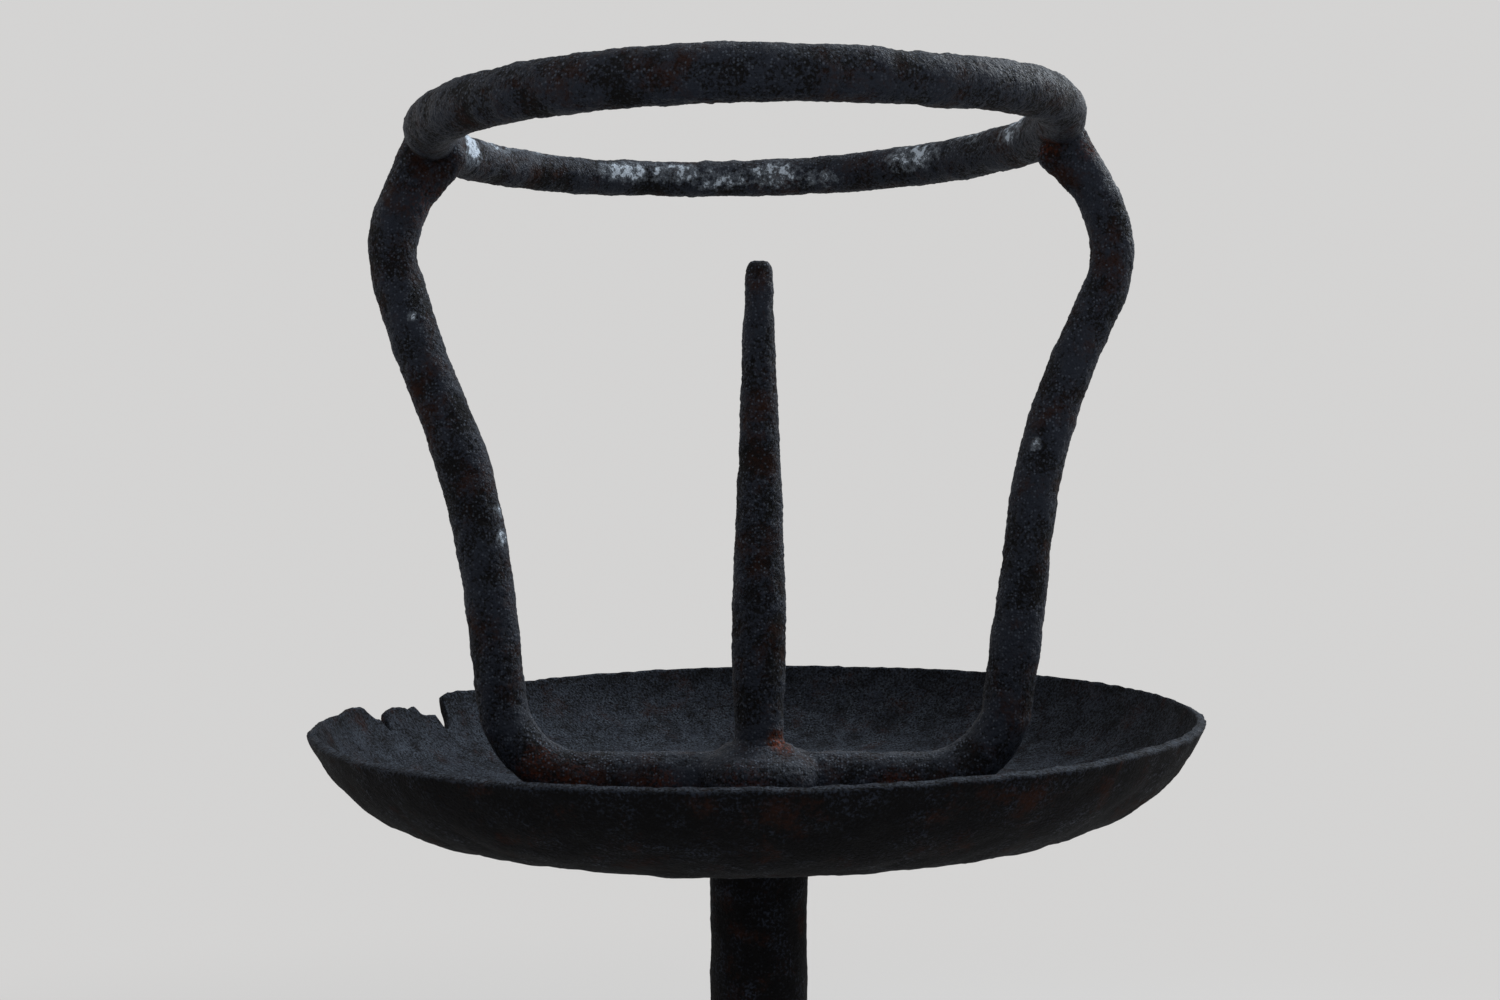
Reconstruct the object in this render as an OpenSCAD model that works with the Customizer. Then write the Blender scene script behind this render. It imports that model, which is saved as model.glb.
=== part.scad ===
// Pricket candlestick of round wrought-iron bar: a three-legged stand, a dished
// drip pan, a tapered spike and a bent bar cage that carries a hoop round the candle.
// Z is up, the ground is z = 0 and the stem stands on the Z axis. The cage lies in
// the XZ plane. Heights named "above the pan" are measured from its inner floor.

/* [Stem] */
// Height of the pan's inner floor above the ground
pan_floor_z = 285; // [250:1:340]
// Diameter of the round stem
stem_d = 16; // [13:0.5:20]
// Length of the drawn-out end below the legs' hips
stem_drop = 30; // [16:1:50]
// Diameter of the ball that ends the stem
stem_ball_d = 9; // [7:0.5:12]
// Room below the tang in its socket
socket_spare = 4; // [1:0.5:12]

/* [Drip pan] */
// Diameter over the pan's rim
pan_rim_d = 142.8; // [130:0.1:160]
// Diameter of the flat bottom
pan_flat_d = 98.2; // [90:0.1:106]
// Height of the rim above the inner floor
pan_depth = 14.4; // [11:0.1:18]
// Thickness of the pan's sheet
pan_t = 1.4; // [1:0.1:2.5]
// Direction of the torn V notch, turned from the left side to the back
tear_az = 18.5; // [8:0.5:22]
// Width of the V notch at the rim
tear_w = 5; // [3:0.5:8]
// Height of the V notch's bottom above the pan
tear_z = 8.6; // [5:0.1:10]
// Direction of the rusted slot beside it
slot_az = 32; // [28:0.5:50]
// Width of that slot
slot_w = 2.4; // [1.5:0.1:4]
// Height of the slot's bottom above the pan
slot_z = 6.8; // [4:0.1:9]
// Height of the worn rim between notch and slot
worn_rim_z = 11; // [10:0.1:14]

/* [Candle cage] */
// Diameter of the cage's bar
cage_bar_d = 8; // [6:0.5:9]
// Depth of the flat hammered under the bar where it lies on the pan
cage_seat = 0.3; // [0.1:0.05:0.6]
// Centre-line radius of the two corners on the pan
corner_r = 14; // [10:0.5:18]
// Distance from the stem's axis to the left corner
left_foot = 40.8; // [36:0.1:45]
// Lean of the left arm out to its knee
left_knee_out = 4.8; // [2:0.1:9]
// Height of the left knee above the pan
left_knee_z = 48.3; // [40:0.1:58]
// Bend radius of the left knee
left_knee_r = 150; // [60:1:170]
// Distance that the left shoulder stands out past the hoop's centre line
left_shoulder_out = 8; // [3:0.1:13]
// Drop from the hoop to the left shoulder
left_shoulder_drop = 17.5; // [14:0.1:24]
// Bend radius of the left shoulder
left_shoulder_r = 16; // [10:0.5:20]
// Distance from the stem's axis to the right corner
right_foot = 39.2; // [36:0.1:45]
// Lean of the right arm out to its knee
right_knee_out = 7.2; // [3:0.1:11]
// Height of the right knee above the pan
right_knee_z = 61.5; // [50:0.1:66]
// Bend radius of the right knee
right_knee_r = 98; // [40:1:110]
// Distance that the right shoulder stands out past the hoop's centre line
right_shoulder_out = 11.2; // [5:0.1:15]
// Drop from the hoop to the right shoulder
right_shoulder_drop = 19.4; // [15:0.1:25]
// Bend radius of the right shoulder
right_shoulder_r = 18; // [10:0.5:20]
// Diameter of the upset eye in the middle of the cage's bar
eye_d = 21; // [18:0.5:26]
// Height of the eye's dome above the bar
eye_rise = 1.4; // [0.5:0.1:3]
// Diameter of the tenons on the arms' upper ends
tenon_d = 3.6; // [2.5:0.1:4.5]
// How far below the hoop's centre the arms' ends stop
cope_drop = 1.5; // [1:0.1:2.5]

/* [Candle hoop] */
// Centre-line diameter of the hoop
hoop_d = 101.5; // [94:0.5:110]
// Diameter of the hoop's bar
hoop_bar_d = 7.4; // [6:0.1:9]
// Height of the hoop's centre above the pan
hoop_z = 108.8; // [100:0.1:120]
// Sideways offset of the hoop from the stem's axis
hoop_offset = -2.2; // [-4:0.1:4]
// Lean of the hoop in degrees, right side up
hoop_lean = 1; // [-3:0.1:3]

/* [Spike] */
// Height of the spike above the eye
spike_h = 79; // [60:1:90]
// Diameter where the spike stands on the eye
spike_neck_d = 7.4; // [6.8:0.1:9]
// Diameter at the spike's widest
spike_belly_d = 8.9; // [7.5:0.1:11]
// Height of the widest place above the eye
spike_belly_z = 18.5; // [10:0.5:30]
// Diameter where the blunt point begins
spike_point_d = 4.2; // [2.5:0.1:6]
// Length of the blunt point
spike_point_h = 2.6; // [1.5:0.1:5]
// Diameter of the very tip
spike_tip_d = 1.4; // [0.6:0.1:2.2]
// Diameter of the tang below the eye
tang_d = 6; // [5:0.1:6.4]
// Depth of the tang in the stem
tang_depth = 20; // [15:1:40]
// Diameter of the cross pin
pin_d = 3; // [2:0.1:3.5]
// Drop from the stem's top to the cross pin
pin_drop = 8; // [6:0.5:10]
// Length that the cross pin stands out at each side of the stem
pin_proud = 1; // [0.5:0.1:2]

/* [Legs] */
// Diameter of the leg bars
leg_bar_d = 10; // [8:0.5:12]
// Depth of the hollow in a leg that seats on the stem
leg_seat = 0.8; // [0.3:0.1:1.2]
// Length of the legs' straight ends along the stem
leg_grip = 48; // [44:0.5:80]
// Height of the slanting cut on those ends
leg_taper = 5; // [3:0.5:9]
// Height at which the leg's upper bend would come to a point
leg_hip_z = 88; // [76:1:110]
// Centre-line radius of the upper bend
leg_hip_r = 34; // [20:1:45]
// Distance from the axis to the leg's knee
leg_knee_out = 106; // [90:1:118]
// Height of the knee
leg_knee_z = 56; // [44:1:70]
// Centre-line radius of the knee
leg_knee_r = 30; // [15:1:36]
// Distance from the axis to the middle of a foot
foot_out = 113; // [100:1:130]
// Diameter of the flattened foot
foot_d = 24; // [20:1:30]
// Thickness of the foot
foot_t = 4; // [3:0.5:6]

/* [Collars and rivets] */
// Height of a collar
collar_h = 9; // [6:0.5:9]
// Thickness of a collar's strip
collar_t = 2.5; // [2:0.1:4]
// Bare length of leg below the lower and above the upper collar
collar_margin = 3; // [1:0.5:4]
// Diameter of the rivets
rivet_d = 4; // [3:0.1:4.5]
// Diameter of a rivet's head
rivet_head_d = 8; // [6.5:0.1:9]
// Height of a rivet's head
rivet_head_h = 2; // [1.5:0.1:3]

/* [Clearance] */
// Gap round a tang, pin, tenon or rivet in its hole
fit = 0.05; // [0.02:0.01:0.15]

/* [Hidden] */

$fn = 64;
bar_fn = 48;
hoop_fn = 128;
pan_fn = 160;
over = 1;
// A bar swells a little where it is bent, and its straights run on into the bend
bend_swell = 0.04;
bend_lap = 0.4;
// A collar's flats lie this much inside the tangents to its round corners
flat_ease = 0.03;
// The stem's end necks in above its ball to this share of the ball's diameter
ball_neck = 0.7;
// A rivet's head narrows to this share of its diameter at its crown
head_crown = 0.6;

iron = "#2b2c2f";
dark_iron = "#1f2022";
worn_iron = "#3b3d42";

// Directions of the three legs, seen from above
leg_az = [-90, 30, 150];

stem_top_z = pan_floor_z - pan_t;
stem_tip_z = leg_hip_z - stem_drop;
socket_depth = tang_depth + socket_spare;
cage_axis_z = cage_bar_d / 2 - cage_seat;
eye_h = cage_bar_d - cage_seat;
eye_top = eye_h + eye_rise;
leg_r0 = stem_d / 2 + leg_bar_d / 2 - leg_seat;
pan_outer_r = pan_rim_d / 2;
pan_flat_r = pan_flat_d / 2;
pan_h = pan_depth + pan_t;
// One arc leads from the flat bottom, tangent to it, up to the rim
pan_arc_r = (pow(pan_outer_r - pan_flat_r, 2) + pan_h * pan_h) / (2 * pan_h);
pan_sweep = acos(1 - pan_h / pan_arc_r);

// Points on the hoop's centre line where the arms meet it
hoop_reach = hoop_d / 2 * [cos(hoop_lean), sin(hoop_lean)];
hoop_right = [hoop_offset, hoop_z] + hoop_reach;
hoop_left = [hoop_offset, hoop_z] - hoop_reach;

left_shoulder = hoop_left + [-left_shoulder_out, -left_shoulder_drop];
right_shoulder = hoop_right + [right_shoulder_out, -right_shoulder_drop];

// The cage's centre line, from the hoop down the left arm and up the right one
cage_line = [
    hoop_left + cope_drop * heading(hoop_left, left_shoulder),
    left_shoulder,
    [-left_foot - left_knee_out, left_knee_z],
    [-left_foot, cage_axis_z],
    [right_foot, cage_axis_z],
    [right_foot + right_knee_out, right_knee_z],
    right_shoulder,
    hoop_right + cope_drop * heading(hoop_right, right_shoulder)
];
cage_radii = [0, left_shoulder_r, left_knee_r, corner_r,
              corner_r, right_knee_r, right_shoulder_r, 0];

// The leg turns from upright at its hip; its straight grip starts above that bend
leg_hip = [leg_r0, leg_hip_z];
leg_knee = [leg_knee_out, leg_knee_z];
hip_turn = 90 + slope(leg_knee - leg_hip);
leg_grip_z = leg_hip_z + leg_hip_r * tan(hip_turn / 2);
leg_top_z = leg_grip_z + leg_grip;

// A leg's centre line as [distance from the axis, height], from the top down
leg_line = [[leg_r0, leg_top_z], leg_hip, leg_knee, [foot_out, foot_t / 2]];
leg_radii = [0, leg_hip_r, leg_knee_r, 0];

lower_collar_z = leg_grip_z + collar_margin;
upper_collar_z = leg_top_z - leg_taper - collar_margin - collar_h;

// The rivets share out the grip between the collars
rivet_step = (upper_collar_z - lower_collar_z - collar_h) / 3;
rivet_z = [for (i = [0 : 2]) lower_collar_z + collar_h + (i + 0.5) * rivet_step];

function heading(a, b) = (b - a) / norm(b - a);
function slope(v) = atan2(v.y, v.x);

// Signed angle by which a line turns at its point i
function turn_at(line, i) =
    let (u = heading(line[i - 1], line[i]), v = heading(line[i], line[i + 1]))
    atan2(u.x * v.y - u.y * v.x, u * v);

// Length that the bend at point i takes from each neighbouring straight
function setback(line, radii, i) = radii[i] * tan(abs(turn_at(line, i)) / 2);

// Round bar bent along a line in the XY plane, with a radius at each inner point
module bent_bar(line, radii, d) {
    last = len(line) - 1;
    for (i = [0 : last - 1]) {
        u = heading(line[i], line[i + 1]);
        from = line[i] + u * (i == 0 ? 0 : setback(line, radii, i) - bend_lap);
        to = line[i + 1] - u * (i + 1 == last ? 0 : setback(line, radii, i + 1) - bend_lap);
        translate([from.x, from.y, 0])
            rotate([0, 90, slope(u)])
                cylinder(d = d, h = norm(to - from), $fn = bar_fn);
    }
    for (i = [1 : last - 1]) {
        u = heading(line[i - 1], line[i]);
        turn = turn_at(line, i);
        from = line[i] - u * setback(line, radii, i);
        centre = from + sign(turn) * radii[i] * [-u.y, u.x];
        translate([centre.x, centre.y, 0])
            rotate([0, 0, slope(u) - sign(turn) * 90 + min(turn, 0)])
                rotate_extrude(angle = abs(turn), $fn = hoop_fn)
                    translate([radii[i], 0])
                        circle(d = d + bend_swell, $fn = bar_fn);
    }
}

// Stands a drawing made in the XY plane up in the XZ plane
module upright() {
    rotate([90, 0, 0]) children();
}

module in_pan() {
    translate([0, 0, pan_floor_z]) children();
}

// The hoop as a full ring, with its bar made thicker by a gap where asked
module hoop_ring(gap = 0) {
    translate([hoop_offset, 0, hoop_z])
        rotate([0, -hoop_lean, 0])
            rotate_extrude($fn = hoop_fn)
                translate([hoop_d / 2, 0])
                    circle(d = hoop_bar_d + 2 * gap, $fn = bar_fn);
}

// Round tenons that run from the arms' ends through the hoop
module tenons(d, from, to) {
    for (end = [[left_shoulder, hoop_left], [right_shoulder, hoop_right]]) {
        u = heading(end[0], end[1]);
        start = end[1] + u * from;
        upright()
            translate([start.x, start.y, 0])
                rotate([0, 90, slope(u)])
                    cylinder(d = d, h = to - from);
    }
}

module stem() {
    ball_z = stem_tip_z + stem_ball_d / 2;
    color(dark_iron) difference() {
        union() {
            translate([0, 0, leg_hip_z])
                cylinder(d = stem_d, h = stem_top_z - leg_hip_z);
            translate([0, 0, ball_z])
                cylinder(d1 = ball_neck * stem_ball_d, d2 = stem_d, h = leg_hip_z - ball_z);
            translate([0, 0, ball_z])
                sphere(d = stem_ball_d);
        }
        translate([0, 0, stem_top_z - socket_depth])
            cylinder(d = tang_d + 2 * fit, h = socket_depth + over);
        translate([0, 0, stem_top_z - pin_drop])
            rotate([90, 0, 0])
                cylinder(d = pin_d + 2 * fit, h = stem_d + 2 * over, center = true);
        for (i = [0 : 2])
            translate([0, 0, rivet_z[i]])
                rotate([0, 90, leg_az[i]])
                    cylinder(d = rivet_d + 2 * fit, h = stem_d + 2 * over, center = true);
    }
}

// Half section of the pan: a flat bottom and a tangent arc up to the rim
module pan_section() {
    wedge = 2 * pan_arc_r;
    translate([0, -pan_t]) square([pan_flat_r, pan_t]);
    translate([pan_flat_r, pan_arc_r - pan_t])
        intersection() {
            difference() {
                circle(r = pan_arc_r, $fn = pan_fn);
                circle(r = pan_arc_r - pan_t, $fn = pan_fn);
            }
            polygon([
                [0, 0],
                [0, -wedge],
                wedge * [sin(pan_sweep / 2), -cos(pan_sweep / 2)],
                wedge * [sin(pan_sweep), -cos(pan_sweep)]
            ]);
        }
}

// A cut of the given outline through the rim, in a direction turned from the left side
module rim_cut(az) {
    reach = pan_outer_r - pan_flat_r;
    rotate([0, 0, 180 - az])
        translate([pan_flat_r, 0, 0])
            rotate([90, 0, 90])
                linear_extrude(height = reach + over)
                    children();
}

module drip_pan() {
    rim_top = pan_depth + over;
    worn_w = (slot_az - tear_az) * PI / 180 * pan_outer_r;
    color(iron) in_pan() difference() {
        rotate_extrude($fn = pan_fn) pan_section();
        translate([0, 0, -pan_t - over])
            cylinder(d = tang_d + 2 * fit, h = pan_t + 2 * over);
        rim_cut(tear_az)
            polygon([[0, tear_z], [tear_w / 2, rim_top], [-tear_w / 2, rim_top]]);
        rim_cut(slot_az) {
            translate([0, slot_z + slot_w / 2]) circle(d = slot_w);
            translate([-slot_w / 2, slot_z + slot_w / 2]) square([slot_w, rim_top - slot_z]);
        }
        rim_cut((tear_az + slot_az) / 2)
            translate([-worn_w / 2, worn_rim_z]) square([worn_w, rim_top - worn_rim_z]);
    }
}

// Half section of the eye: the bar upset to a round-edged disc with a low dome
module eye_section() {
    edge = eye_h / 2;
    core = eye_d / 2 - edge;
    dome_r = eye_d / 2 - edge / 2;
    dome_foot = eye_h - edge / 5;
    difference() {
        union() {
            square([core, eye_h]);
            translate([core, edge]) circle(r = edge, $fn = bar_fn);
            polygon([
                [0, edge],
                [dome_r, edge],
                [dome_r, dome_foot],
                [spike_neck_d / 2 + eye_rise, eye_top],
                [0, eye_top]
            ]);
        }
        translate([-eye_d, -over]) square([eye_d + tang_d / 2 + fit, eye_top + 2 * over]);
    }
}

// The tenons, dressed flush with the hoop's outer side
module flush_tenons() {
    root = hoop_bar_d / 2 + tenon_d;
    difference() {
        tenons(tenon_d, -root, hoop_bar_d);
        difference() {
            tenons(2 * tenon_d, 0, 2 * hoop_bar_d);
            hoop_ring();
        }
    }
}

module candle_cage() {
    reach = left_foot + right_foot;
    color(worn_iron) in_pan() {
        difference() {
            upright() bent_bar(cage_line, cage_radii, cage_bar_d);
            hoop_ring(fit);
            translate([0, 0, -over]) cylinder(d = eye_d - cage_bar_d, h = eye_top + 2 * over);
            translate([-reach / 2, -cage_bar_d, -cage_bar_d]) cube([reach, 2 * cage_bar_d, cage_bar_d]);
        }
        rotate_extrude() eye_section();
        flush_tenons();
    }
}

module candle_hoop() {
    color(worn_iron) in_pan() difference() {
        hoop_ring();
        tenons(tenon_d + 2 * fit, -hoop_bar_d, hoop_bar_d);
    }
}

module spike() {
    tang_end = -pan_t - tang_depth;
    color(worn_iron) in_pan() difference() {
        rotate_extrude()
            polygon([
                [0, tang_end],
                [tang_d / 2, tang_end],
                [tang_d / 2, eye_top],
                [spike_neck_d / 2, eye_top],
                [spike_belly_d / 2, eye_top + spike_belly_z],
                [spike_point_d / 2, eye_top + spike_h - spike_point_h],
                [spike_tip_d / 2, eye_top + spike_h],
                [0, eye_top + spike_h]
            ]);
        translate([0, 0, -pan_t - pin_drop])
            rotate([90, 0, 0])
                cylinder(d = pin_d + 2 * fit, h = tang_d + 2 * over, center = true);
    }
}

module tang_pin() {
    color(dark_iron)
        translate([0, 0, stem_top_z - pin_drop])
            rotate([90, 0, 0])
                cylinder(d = pin_d, h = stem_d + 2 * pin_proud, center = true);
}

// One leg along +X, seated on the stem, with the hole for its rivet
module leg(i) {
    color(iron) rotate([0, 0, leg_az[i]]) difference() {
        union() {
            upright() bent_bar(leg_line, leg_radii, leg_bar_d);
            translate([foot_out, 0, 0]) cylinder(d = foot_d, h = foot_t);
        }
        translate([leg_r0 + leg_bar_d / 2, -leg_bar_d, leg_top_z - leg_taper])
            rotate([0, -atan(leg_bar_d / leg_taper), 0])
                cube([leg_bar_d, 2 * leg_bar_d, 2 * leg_bar_d + leg_taper]);
        translate([0, 0, leg_hip_z]) cylinder(d = stem_d, h = leg_top_z);
        translate([foot_out, 0, -leg_bar_d]) cylinder(d = foot_d, h = leg_bar_d);
        translate([0, 0, rivet_z[i]])
            rotate([0, 90, 0])
                cylinder(d = rivet_d + 2 * fit, h = leg_r0 + leg_bar_d);
    }
}

module leg_front() { leg(0); }
module leg_right() { leg(1); }
module leg_left() { leg(2); }

// Outline round three bars against the stem: an arc at each and a straight between
module collar_outline(r) {
    for (az = leg_az)
        rotate(az) translate([leg_r0, 0]) circle(r = r, $fn = bar_fn);
    polygon([
        for (az = leg_az, side = [-60, 60])
            leg_r0 * [cos(az), sin(az)] + (r - flat_ease) * [cos(az + side), sin(az + side)]
    ]);
}

module collar(z) {
    color(dark_iron)
        translate([0, 0, z])
            linear_extrude(height = collar_h)
                difference() {
                    collar_outline(leg_bar_d / 2 + collar_t);
                    collar_outline(leg_bar_d / 2 + fit);
                }
}

module lower_collar() { collar(lower_collar_z); }
module upper_collar() { collar(upper_collar_z); }

// A rivet along +X, headed over the leg and peened over behind the stem
module rivet() {
    head_out = leg_r0 + leg_bar_d / 2 + rivet_head_h;
    rotate([0, 90, 0])
        translate([0, 0, -stem_d / 2 - over])
            cylinder(d = rivet_d, h = stem_d / 2 + over + head_out - rivet_head_h / 2);
    difference() {
        translate([head_out - 2 * rivet_head_h, 0, 0])
            rotate([0, 90, 0])
                cylinder(d1 = rivet_head_d, d2 = head_crown * rivet_head_d, h = 2 * rivet_head_h);
        translate([leg_r0, 0, -rivet_head_d])
            cylinder(d = leg_bar_d, h = 2 * rivet_head_d);
    }
    difference() {
        translate([-stem_d / 2 - rivet_head_h, 0, 0])
            rotate([0, 90, 0])
                cylinder(d1 = head_crown * rivet_head_d, d2 = rivet_head_d, h = 2 * rivet_head_h);
        translate([0, 0, -rivet_head_d]) cylinder(d = stem_d, h = 2 * rivet_head_d);
    }
}

module leg_rivets() {
    color(dark_iron)
        for (i = [0 : 2])
            translate([0, 0, rivet_z[i]])
                rotate([0, 0, leg_az[i]])
                    rivet();
}

stem();
drip_pan();
candle_cage();
candle_hoop();
spike();
tang_pin();
leg_front();
leg_right();
leg_left();
lower_collar();
upper_collar();
leg_rivets();
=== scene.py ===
"""Hand-forged pricket candlestick, dressed piece by piece on its construction frame.

The stem and the spike stand on the Z axis and the cage lies in the XZ plane, with the left
arm at -X and the viewer at -Y. Sizes are in metres; the relief of a surface is worked out in
millimetres. "Above the pan" means above the pan's inner floor.
"""

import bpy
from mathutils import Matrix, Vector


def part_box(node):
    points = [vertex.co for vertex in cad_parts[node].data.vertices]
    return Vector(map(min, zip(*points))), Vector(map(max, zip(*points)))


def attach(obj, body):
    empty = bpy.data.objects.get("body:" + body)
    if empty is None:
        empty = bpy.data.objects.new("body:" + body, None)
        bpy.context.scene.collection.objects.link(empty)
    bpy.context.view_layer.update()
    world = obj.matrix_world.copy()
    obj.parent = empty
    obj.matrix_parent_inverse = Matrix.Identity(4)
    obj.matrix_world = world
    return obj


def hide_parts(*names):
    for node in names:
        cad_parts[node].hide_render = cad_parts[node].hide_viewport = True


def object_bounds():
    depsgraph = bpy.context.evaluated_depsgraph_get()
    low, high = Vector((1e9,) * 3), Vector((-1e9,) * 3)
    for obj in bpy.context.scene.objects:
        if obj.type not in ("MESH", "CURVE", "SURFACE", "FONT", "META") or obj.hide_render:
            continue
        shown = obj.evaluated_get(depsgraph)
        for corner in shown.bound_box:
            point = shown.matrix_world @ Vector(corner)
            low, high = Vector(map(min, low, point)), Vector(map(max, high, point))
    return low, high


bl_info = {
    "name": "Pricket Candlestick",
    "version": (1, 0, 0),
    "blender": (4, 5, 0),
    "location": "View3D > Sidebar > Candlestick",
    "description": "Forges the pieces of a pricket candlestick and lays out its picture",
    "category": "Add Mesh",
}

import math

import bmesh
import bpy
from bpy.props import FloatProperty, FloatVectorProperty, PointerProperty
from bpy.types import Operator, Panel, PropertyGroup
from mathutils import Matrix, Vector, noise

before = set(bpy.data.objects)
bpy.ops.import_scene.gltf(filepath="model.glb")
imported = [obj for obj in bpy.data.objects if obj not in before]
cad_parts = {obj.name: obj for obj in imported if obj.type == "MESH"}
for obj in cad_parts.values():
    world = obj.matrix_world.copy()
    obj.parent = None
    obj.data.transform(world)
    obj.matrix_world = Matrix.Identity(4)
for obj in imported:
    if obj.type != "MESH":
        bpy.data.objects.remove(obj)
CAD_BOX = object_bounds()

MM = 0.001
# Points closer than this are one point
WELD = 0.01 * MM
# Lays a shape that was bent in the XZ plane down in the XY plane
LAY = Matrix.Rotation(-math.pi / 2, 4, "X")

HOOP_LOW, HOOP_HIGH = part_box("candle_hoop")
PAN_LOW, PAN_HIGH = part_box("drip_pan")
SPIKE_LOW, SPIKE_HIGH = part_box("spike")
STEM_LOW, STEM_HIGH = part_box("stem")
LEG_LOW, LEG_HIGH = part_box("leg_front")
LOWER_COLLAR_LOW, LOWER_COLLAR_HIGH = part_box("lower_collar")
UPPER_COLLAR_LOW, UPPER_COLLAR_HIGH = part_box("upper_collar")
PIN_LOW, PIN_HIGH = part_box("tang_pin")

# Directions of the front, right and left leg, seen from above
LEG_TURNS = {"leg_front": -90.0, "leg_right": 30.0, "leg_left": 150.0}


def size(name, description, value):
    """A length in millimetres as a property in metres."""
    return FloatProperty(
        name=name, description=description, default=value * MM, unit="LENGTH", precision=5
    )


def colour(name, description, value):
    """A linear colour as a property."""
    return FloatVectorProperty(
        name=name, description=description, default=value, subtype="COLOR", size=3, min=0.0, max=1.0
    )


def share(name, description, value):
    """A plain factor as a property."""
    return FloatProperty(name=name, description=description, default=value, min=0.0, soft_max=2.0)


def angle(name, description, degrees):
    """An angle given in degrees as a property."""
    return FloatProperty(
        name=name, description=description, default=math.radians(degrees), subtype="ANGLE"
    )


class HoopSizes(PropertyGroup):
    """The hoop that steadies the candle."""

    bar_d: size("Bar", "Diameter of the hoop's bar", 7.4)
    lean: angle("Lean", "Lean of the hoop, right side up", 1.0)
    grain: size("Grain", "Width of the faces on the hoop", 0.4)


class CageSizes(PropertyGroup):
    """The bent bar that lies across the pan and rises in two arms."""

    bar_d: size("Bar", "Diameter of the bar across the pan", 8.0)
    seat: size("Seat", "Depth of the flat under the bar", 0.3)
    corner_r: size("Corner radius", "Radius of the two corners on the pan", 14.0)
    left_foot: size("Left corner", "Distance from the axis to the left corner", 40.8)
    left_knee_out: size("Left knee out", "Lean of the left arm out to its knee", 4.8)
    left_knee_z: size("Left knee", "Height of the left knee above the pan", 48.3)
    left_knee_r: size("Left knee radius", "Bend radius of the left knee", 150.0)
    left_shoulder_out: size("Left shoulder out", "Reach of the left shoulder past the hoop", 8.0)
    left_shoulder_drop: size("Left shoulder drop", "Drop from hoop to left shoulder", 17.5)
    left_shoulder_r: size("Left shoulder radius", "Bend radius of the left shoulder", 16.0)
    right_foot: size("Right corner", "Distance from the axis to the right corner", 39.2)
    right_knee_out: size("Right knee out", "Lean of the right arm out to its knee", 7.2)
    right_knee_z: size("Right knee", "Height of the right knee above the pan", 61.5)
    right_knee_r: size("Right knee radius", "Bend radius of the right knee", 98.0)
    right_shoulder_out: size("Right shoulder out", "Reach of the right shoulder past the hoop", 11.2)
    right_shoulder_drop: size("Right shoulder drop", "Drop from hoop to right shoulder", 19.4)
    right_shoulder_r: size("Right shoulder radius", "Bend radius of the right shoulder", 18.0)
    sway: size("Sway", "Bulge of the left arm out of its even line", 0.6)
    sway_z: size("Sway height", "Height of that bulge above the pan", 72.0)
    sway_reach: size("Sway reach", "Length to which it dies out at each side", 16.0)
    cope: size("Cope", "How far from the hoop's centre the arms stop", 1.5)
    eye_d: size("Eye", "Diameter of the upset eye", 21.0)
    eye_rise: size("Eye rise", "Height of the eye's dome above the bar", 1.4)
    grain: size("Grain", "Width of the faces on the cage", 0.36)


class SpikeSizes(PropertyGroup):
    """The spike that holds the candle."""

    neck_d: size("Neck", "Diameter where the spike stands on the eye", 7.4)
    sink: size("Sink", "Depth to which the spike's foot is modelled in the eye", 2.0)
    grain: size("Grain", "Width of the faces on the spike", 0.26)


class PanSizes(PropertyGroup):
    """The dished drip pan."""

    flat_d: size("Flat", "Diameter of the flat bottom", 98.2)
    depth: size("Depth", "Height of the rim above the inner floor", 14.4)
    sheet: size("Sheet", "Thickness of the sheet", 1.4)
    hole_d: size("Hole", "Diameter of the hole for the tang", 6.1)
    shift: size("Shift", "Sideways shift of the wall, which is dished out of true", -0.4)
    spread: size("Spread", "How far the dents have spread the rim", 0.4)
    tilt: angle("Tilt", "Tilt of the wall, right side up", 0.95)
    torn_from: angle("Torn from", "Where the torn rim begins, from the left to the back", -8.0)
    torn_to: angle("Torn to", "Where the torn rim ends", 46.0)
    grain: size("Grain", "Width of the faces on the wall", 0.6)
    torn_grain: size("Torn grain", "Width of the faces where the rim is torn", 0.36)


class StandSizes(PropertyGroup):
    """Stem, legs, collars and rivets."""

    ball_d: size("Ball", "Diameter of the ball that ends the stem", 9.0)
    leg_d: size("Leg bar", "Diameter of the leg bars", 10.0)
    leg_seat: size("Leg seat", "Depth of the hollow by which a leg seats on the stem", 0.8)
    leg_taper: size("Leg top", "Height of the slanting cut on the legs' tops", 5.0)
    hip_z: size("Hip", "Height at which the hip's bend would come to a point", 88.0)
    hip_r: size("Hip radius", "Bend radius of the hip", 34.0)
    knee_out: size("Knee out", "Distance from the axis to the knee", 106.0)
    knee_z: size("Knee", "Height of the knee", 56.0)
    knee_r: size("Knee radius", "Bend radius of the knee", 30.0)
    foot_out: size("Foot out", "Distance from the axis to the middle of a foot", 113.0)
    foot_d: size("Foot", "Diameter of the flattened foot", 24.0)
    foot_t: size("Foot thickness", "Thickness of the foot", 4.0)
    strip_t: size("Collar strip", "Thickness of a collar's strip", 2.5)
    rivet_d: size("Rivet", "Diameter of the rivets", 4.0)
    head_d: size("Rivet head", "Diameter of a rivet's head", 8.0)
    head_h: size("Rivet head height", "Height of a rivet's head", 2.0)
    grain: size("Grain", "Width of the faces on the stand", 0.55)


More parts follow.
